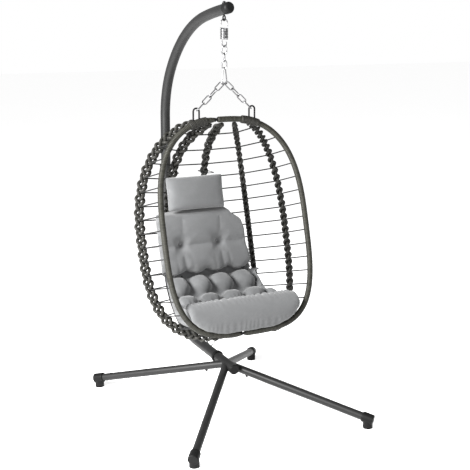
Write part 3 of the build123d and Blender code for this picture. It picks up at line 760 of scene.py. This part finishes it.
def build_buttons(cushion):
    """Covered buttons sunk in the tufts of the cushion's face."""
    depsgraph = bpy.context.evaluated_depsgraph_get()
    tree = BVHTree.FromObject(cushion, depsgraph)
    pieces = []
    for x, row in TUFTS:
        place = np.array([np.interp(row, FACE_LENGTHS, FACE[:, axis]) for axis in (0, 1)])
        start = Vector((x, place[0] - 0.05, place[1] + (0.06 if row > BUTTON_ROW + 0.01 else 0.0)))
        hit, normal, _, _ = tree.ray_cast(start, (Vector((x, *place)) - start).normalized(), 0.2)
        if hit is None or abs(x) > 0.25:
            continue
        radius = BUTTON_RADIUS if row == BUTTON_ROW else SMALL_BUTTON_RADIUS
        falls = np.linspace(0.02, math.pi - 0.02, BUTTON_RINGS)
        profile = [(radius * math.sin(fall), radius * 0.5 * math.cos(fall)) for fall in falls]
        turn = normal.to_track_quat("Z", "Y")
        vertices = []
        for out, up in profile:
            for angle in np.arange(BUTTON_SIDES) * 2 * math.pi / BUTTON_SIDES:
                local = Vector((out * math.cos(angle), out * math.sin(angle), up))
                vertices.append(hit + turn @ local)
        last = (BUTTON_RINGS - 1) * BUTTON_SIDES
        faces = [tuple(range(BUTTON_SIDES))[::-1], tuple(range(last, last + BUTTON_SIDES))]
        for ring in range(0, last, BUTTON_SIDES):
            for index in range(BUTTON_SIDES):
                after = (index + 1) % BUTTON_SIDES
                lower = ring + BUTTON_SIDES
                faces.append((lower + index, lower + after, ring + after, ring + index))
        pieces.append((np.array([tuple(v) for v in vertices]), faces))
    buttons = joined("cushion_buttons", pieces, FABRIC)
    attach(buttons, "basket")


PILLOW_CENTRE = Vector((-0.104, 0.121 + HUB_Y, 1.062))
PILLOW_LEAN = math.radians(-12)
PILLOW_HALF = (0.150, 0.040, 0.082)
PILLOW_VOXEL = 0.0045
PILLOW_PRESSURE = 2.0
PILLOW_SWELL_CAP = 0.007
SEAM_WELD = 0.0008


def build_pillow():
    """A stuffed rectangle: full in the middle, thin at its seam, with pulled-out corners."""
    columns, rows = 56, 32
    half_width, half_depth, half_height = PILLOW_HALF
    turn = Matrix.Rotation(PILLOW_LEAN, 3, "X")
    vertices, faces = [], []
    for face in (-1, 1):
        for row in range(rows + 1):
            for column in range(columns + 1):
                u, v = 2 * column / columns - 1, 2 * row / rows - 1
                full = ((1 - abs(u) ** 5) * (1 - abs(v) ** 4)) ** 0.42
                pull = 1 - 0.030 * (1 - u * u) * abs(v) ** 3
                draw = 1 - 0.045 * (1 - v * v) * abs(u) ** 3
                local = Vector((half_width * u * draw, face * half_depth * full, half_height * v * pull))
                vertices.append(PILLOW_CENTRE + turn @ local)
    count = (rows + 1) * (columns + 1)
    for face in (0, 1):
        for row in range(rows):
            for column in range(columns):
                a = face * count + row * (columns + 1) + column
                quad = (a, a + 1, a + columns + 2, a + columns + 1)
                faces.append(quad if face == 0 else quad[::-1])
    pillow = make_object("pillow", vertices, faces, FABRIC)
    apply_modifier(pillow, "WELD", merge_threshold=SEAM_WELD)
    apply_modifier(pillow, "REMESH", mode="VOXEL", voxel_size=PILLOW_VOXEL)
    co = coordinates(pillow)
    local = np.abs((co - np.array(PILLOW_CENTRE)) @ np.array(turn.inverted().transposed()))
    hold = step_between(0.93, 0.99, np.maximum(local[:, 0] / half_width, local[:, 2] / half_height))
    inflate(pillow, hold, PILLOW_PRESSURE, PILLOW_SWELL_CAP)
    apply_modifier(pillow, "SMOOTH", factor=0.5, iterations=4)
    apply_modifier(pillow, "SUBSURF", levels=1)
    smooth_all(pillow, FABRIC)
    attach(pillow, "basket")
    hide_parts("headrest_pillow")


cushion = build_cushion()
build_buttons(cushion)
build_pillow()


# ---- Stage: a white studio, as in the photo ----
CHAIR_MIDDLE = Vector((0, 0, 0.95))
FILL = 0.5


def area_light(name, place, size, power):
    data = bpy.data.lights.new(name, "AREA")
    data.shape = "DISK"
    data.size = size
    data.energy = power
    light = bpy.data.objects.new(name, data)
    light.location = place
    light.rotation_mode = "QUATERNION"
    light.rotation_quaternion = (Vector(place) - CHAIR_MIDDLE).to_track_quat("Z", "Y")
    bpy.context.scene.collection.objects.link(light)


FLOOR_REACH = 30.0
corners = [Vector((FLOOR_REACH * x, FLOOR_REACH * y, 0)) for x, y in ((-1, -1), (1, -1), (1, 1), (-1, 1))]
floor_finish = Nodes("studio_floor", 0.9)
floor_finish.colour(floor_finish.ramp(floor_finish.noise(0.5), (0.0, grey(0.93)), (1.0, grey(0.95))))
floor_finish.shader.inputs["Emission Color"].default_value = (1, 1, 1, 1)
floor_finish.shader.inputs["Emission Strength"].default_value = FILL
floor = make_object("studio_floor", corners, [(0, 1, 2, 3)], floor_finish.material)

world = bpy.data.worlds.new("studio")
world.use_nodes = True
studio = world.node_tree
fill = studio.nodes["Background"]
fill.inputs["Color"].default_value = (1, 1, 1, 1)
fill.inputs["Strength"].default_value = FILL
backdrop = studio.nodes.new("ShaderNodeBackground")
backdrop.inputs["Color"].default_value = (1, 1, 1, 1)
seen = studio.nodes.new("ShaderNodeLightPath")
either = studio.nodes.new("ShaderNodeMixShader")
studio.links.new(seen.outputs["Is Camera Ray"], either.inputs["Fac"])
studio.links.new(fill.outputs["Background"], either.inputs[1])
studio.links.new(backdrop.outputs["Background"], either.inputs[2])
studio.links.new(either.outputs["Shader"], studio.nodes["World Output"].inputs["Surface"])
bpy.context.scene.world = world
bpy.context.scene.view_settings.view_transform = "Standard"
area_light("key", (-3.7, -1.0, 2.6), 1.6, 760)
area_light("front", (-1.2, -4.4, 2.4), 2.0, 90)

CAMERA_PLACE = Vector((-2.252, -4.312, 1.889))
CAMERA_YAW = math.radians(-28.38)
CAMERA_DOWN = math.radians(12.0)
camera_data = bpy.data.cameras.new("camera")
camera_data.sensor_width = 36
camera_data.lens = 78.8
camera_data.clip_end = 200
camera = bpy.data.objects.new("camera", camera_data)
camera.location = CAMERA_PLACE
camera.rotation_euler = (math.pi / 2 - CAMERA_DOWN, 0, CAMERA_YAW)
bpy.context.scene.collection.objects.link(camera)
bpy.context.scene.camera = camera
